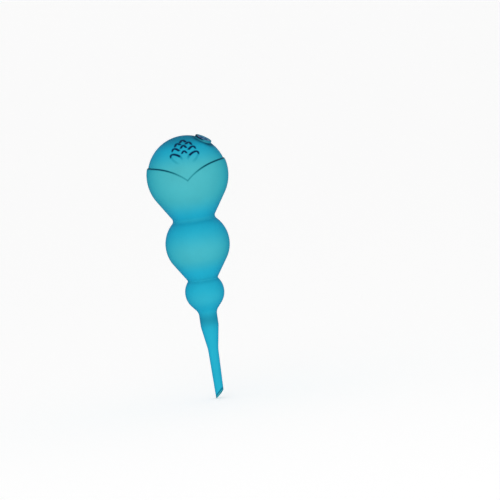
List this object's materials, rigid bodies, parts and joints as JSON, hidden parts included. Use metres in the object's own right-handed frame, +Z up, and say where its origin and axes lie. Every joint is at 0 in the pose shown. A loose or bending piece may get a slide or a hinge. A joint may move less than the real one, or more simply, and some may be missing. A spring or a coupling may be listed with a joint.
{
  "type": "plant watering globe",
  "caption": "Hollow plastic watering globe of stacked lobes on a slim open stem, with a stopper in the filler neck; the stem stands in soil.",
  "frame": {"origin": "on the globe's axis at the middle of the straight collar, which lies at soil level", "axes": "+Z up along the axis to the top lobe, +X to the side of the filler neck, -Y to the front with the petals' notch"},
  "size_m": [0.0822, 0.0822, 0.2668],
  "materials": {
    "globe_plastic": "frosted translucent blue, satin, moulded in one piece",
    "plug_rubber": "soft matte rubber, a deeper blue"
  },
  "bodies": {
    "globe": {"globe_body": "globe_plastic"},
    "plug": {"filler_plug": "plug_rubber"}
  },
  "joints": [
    {"name": "plug_pull", "type": "slide", "parent": "globe", "child": "plug", "axis": [0.519, -0.1391, 0.8434], "range_m": [0, 0.02]}
  ]
}
